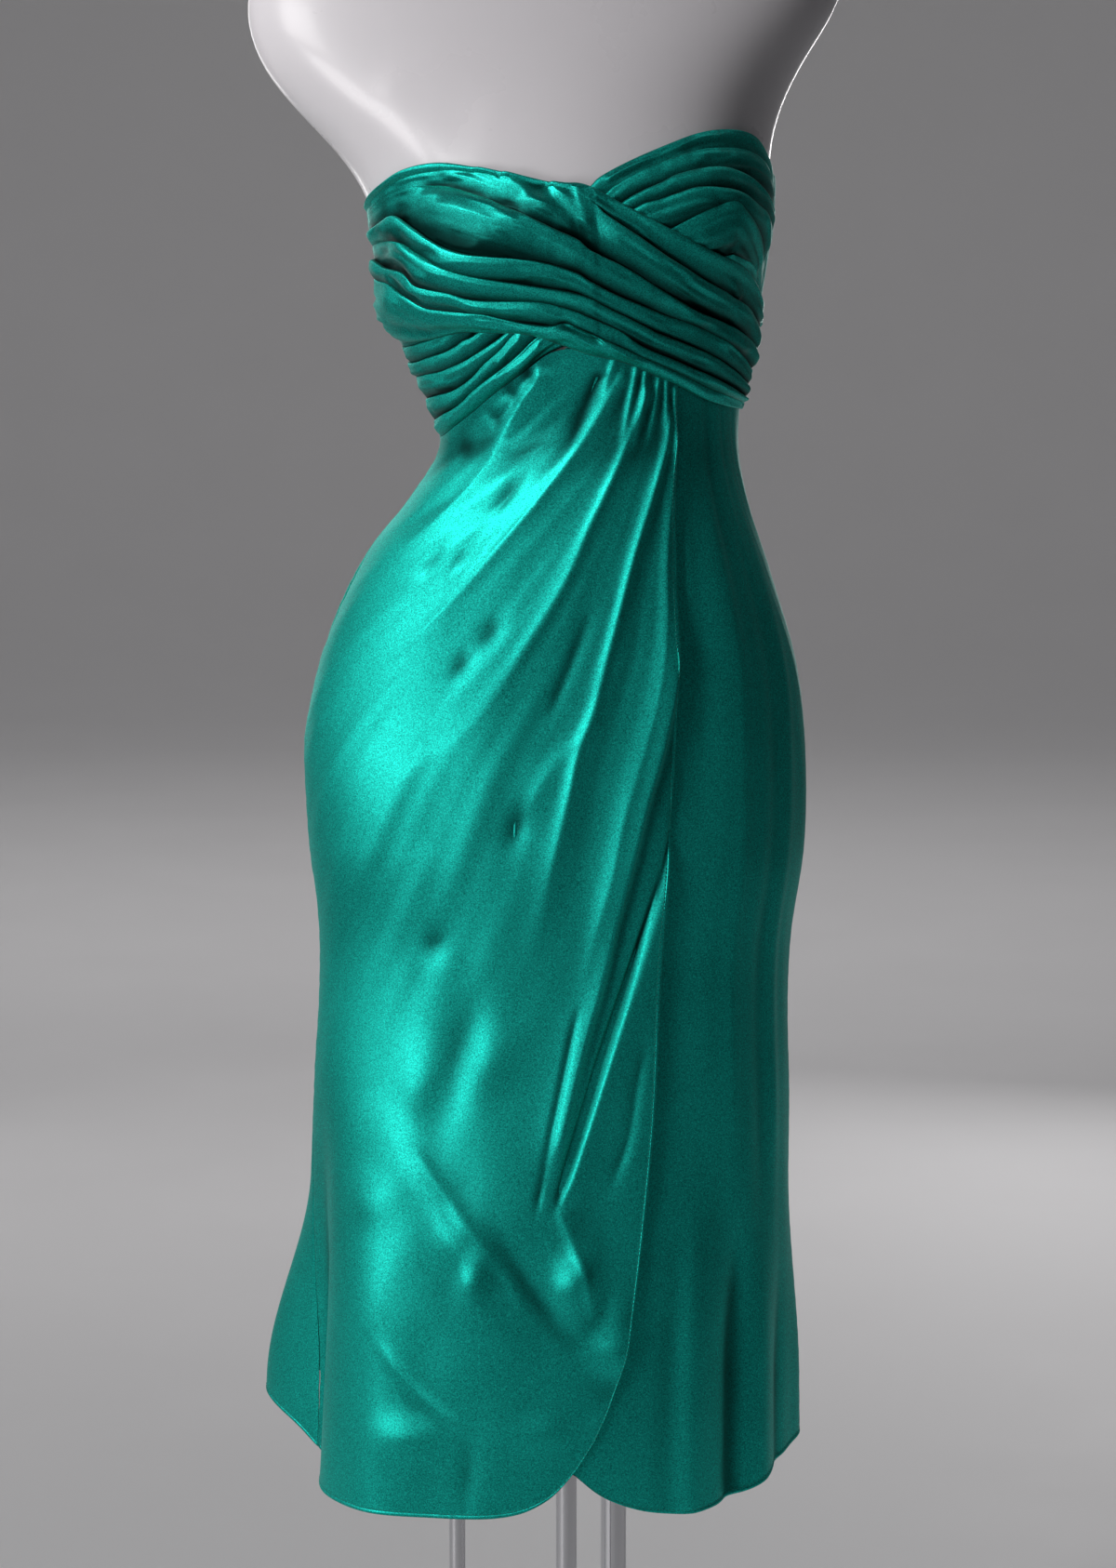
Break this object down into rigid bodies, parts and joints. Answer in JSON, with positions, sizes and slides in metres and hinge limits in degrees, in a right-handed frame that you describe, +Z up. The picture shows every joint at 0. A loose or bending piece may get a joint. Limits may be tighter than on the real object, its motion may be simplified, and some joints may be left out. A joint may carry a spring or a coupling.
{
  "type": "strapless midi dress on a limbless dress form with a stand",
  "caption": "Draped, crossed bodice over a tulip wrap skirt with a rounded front corner, worn by a smooth torso form on rods and a round base.",
  "frame": {"origin": "centre of the base plate's underside", "axes": "+Z up along the stand, the dress's front faces -Y, +X is the wearer's left"},
  "size_m": [0.4208, 0.36, 1.53],
  "materials": {
    "emerald_satin": "satin",
    "zip_tape": "matte",
    "zip_metal": "satin",
    "form_shell": "gloss",
    "chrome_rod": "polished",
    "base_steel": "brushed"
  },
  "bodies": {
    "dress_and_form": {"bodice_over_wrap": "emerald_satin", "bodice_under_wrap": "emerald_satin", "bodice_back_left": "emerald_satin", "bodice_back_right": "emerald_satin", "skirt_over_panel": "emerald_satin", "skirt_under_panel": "emerald_satin", "skirt_back_left": "emerald_satin", "skirt_back_right": "emerald_satin", "zip_chain": "zip_tape", "zip_slider": "zip_metal", "form_torso": "form_shell", "rod_right": "chrome_rod", "rod_middle": "chrome_rod", "rod_left": "chrome_rod", "base_plate": "base_steel"},
    "pull_tab": {"zip_pull": "zip_metal"}
  },
  "joints": [
    {"name": "pull_tab_swing", "type": "hinge", "parent": "dress_and_form", "child": "pull_tab", "pos_m": [0.01094, 0.10191, 1.22476], "axis": [1, 0, 0], "range_deg": [-5, 160]}
  ]
}
